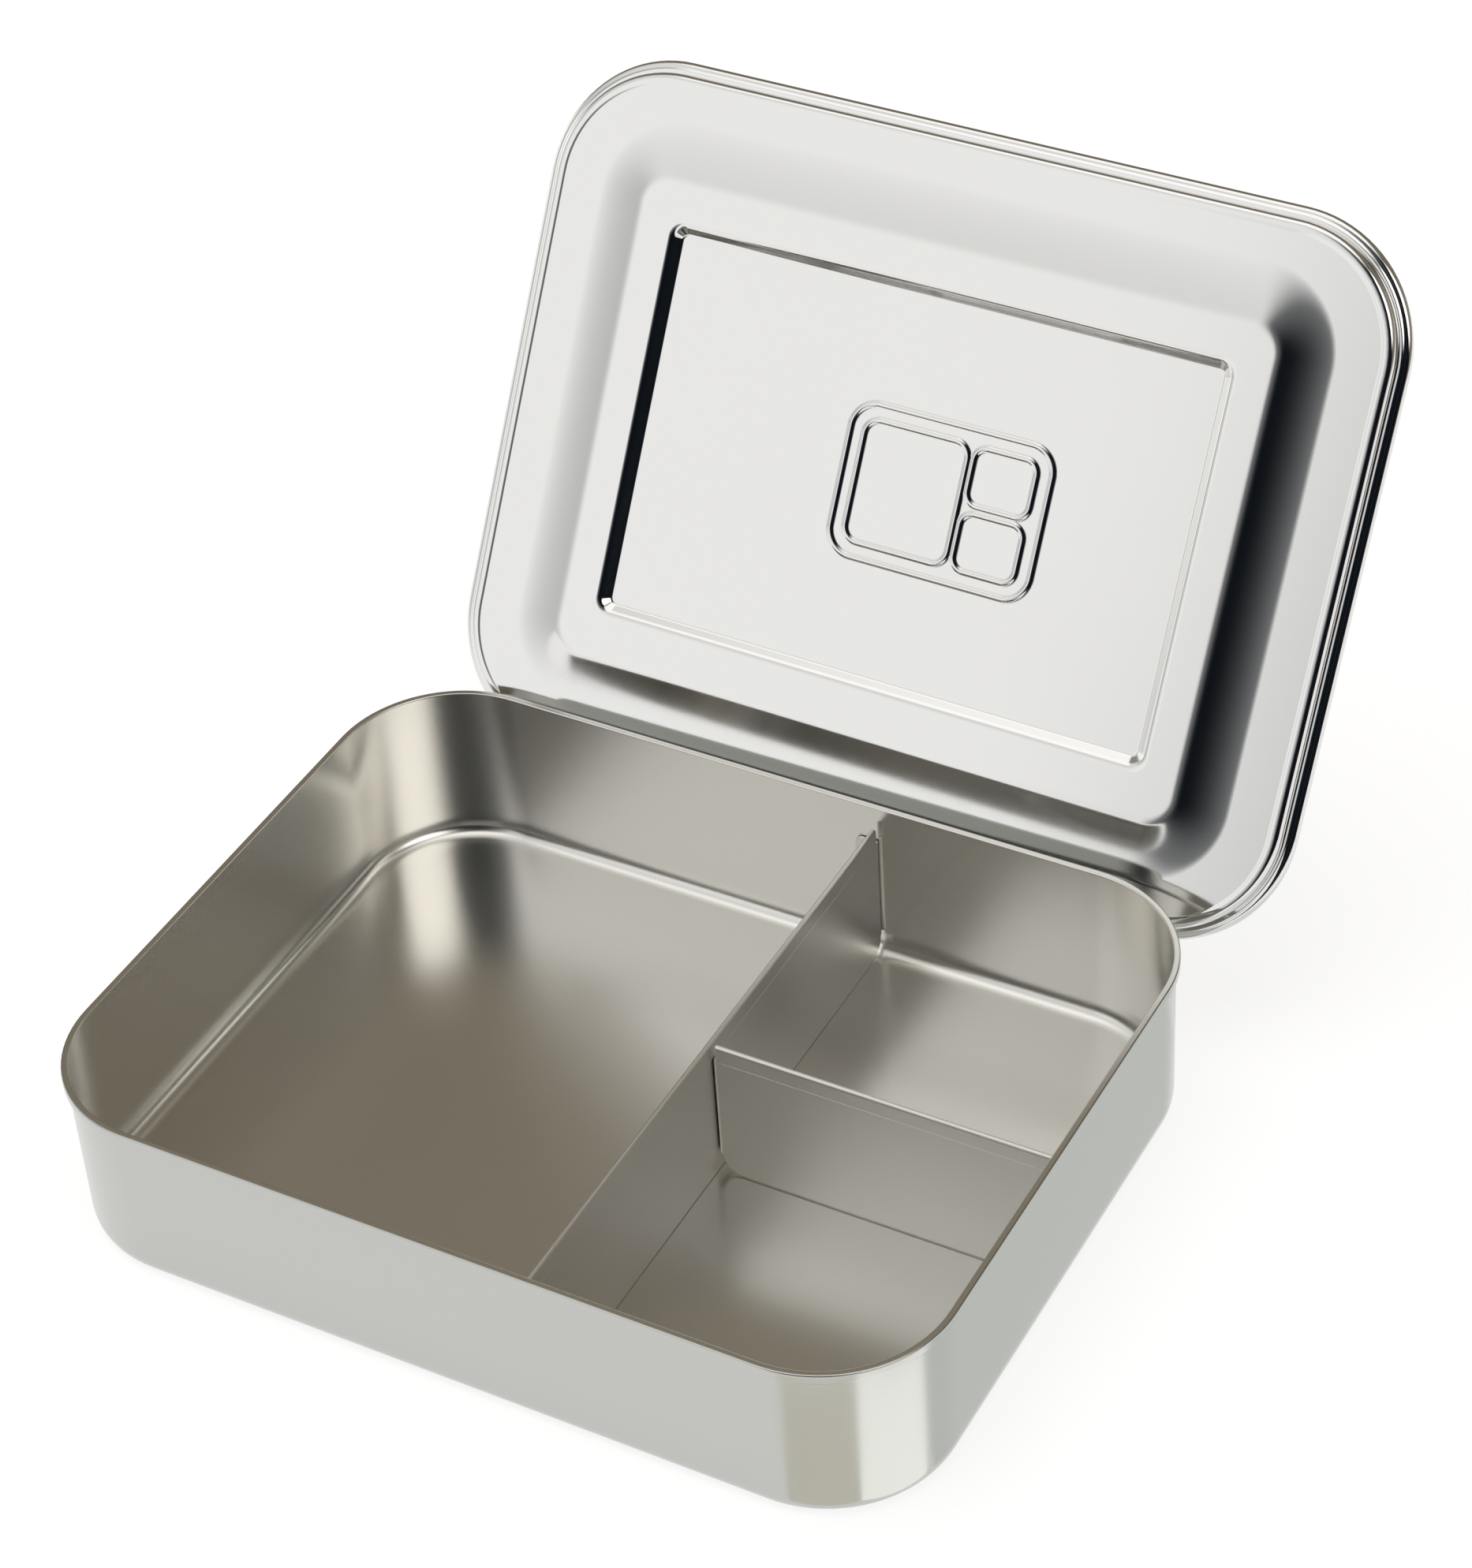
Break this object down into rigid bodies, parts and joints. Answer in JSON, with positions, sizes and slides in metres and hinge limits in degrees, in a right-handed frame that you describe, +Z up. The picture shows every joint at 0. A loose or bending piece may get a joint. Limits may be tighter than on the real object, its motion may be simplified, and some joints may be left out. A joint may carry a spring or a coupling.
{
  "type": "lunch box",
  "caption": "Rectangular stainless lunch box: tray with rounded corners, a long and a short sheet divider making three compartments, and a loose pressed lid standing tipped open behind it.",
  "frame": {"origin": "middle of the tray's flat base, on the surface that it stands on", "axes": "+Z up; +X to the right along the box's length, towards the two small compartments; +Y to the back, where the open lid stands"},
  "size_m": [0.2125, 0.2394, 0.1634],
  "materials": {
    "tray_steel": "satin drawn stainless steel",
    "divider_steel": "dull satin stainless steel",
    "lid_steel": "bright pressed stainless steel"
  },
  "bodies": {
    "tray": {"tray_shell": "tray_steel", "long_divider": "divider_steel", "short_divider": "divider_steel", "long_divider_spot_welds": "divider_steel", "short_divider_spot_welds": "divider_steel"},
    "lid": {"lid": "lid_steel"}
  },
  "joints": [
    {"name": "lid_lift", "type": "slide", "parent": "tray", "child": "lid", "axis": [0.0098, 0.5032, 0.8641], "range_m": [0, 0.12]}
  ]
}
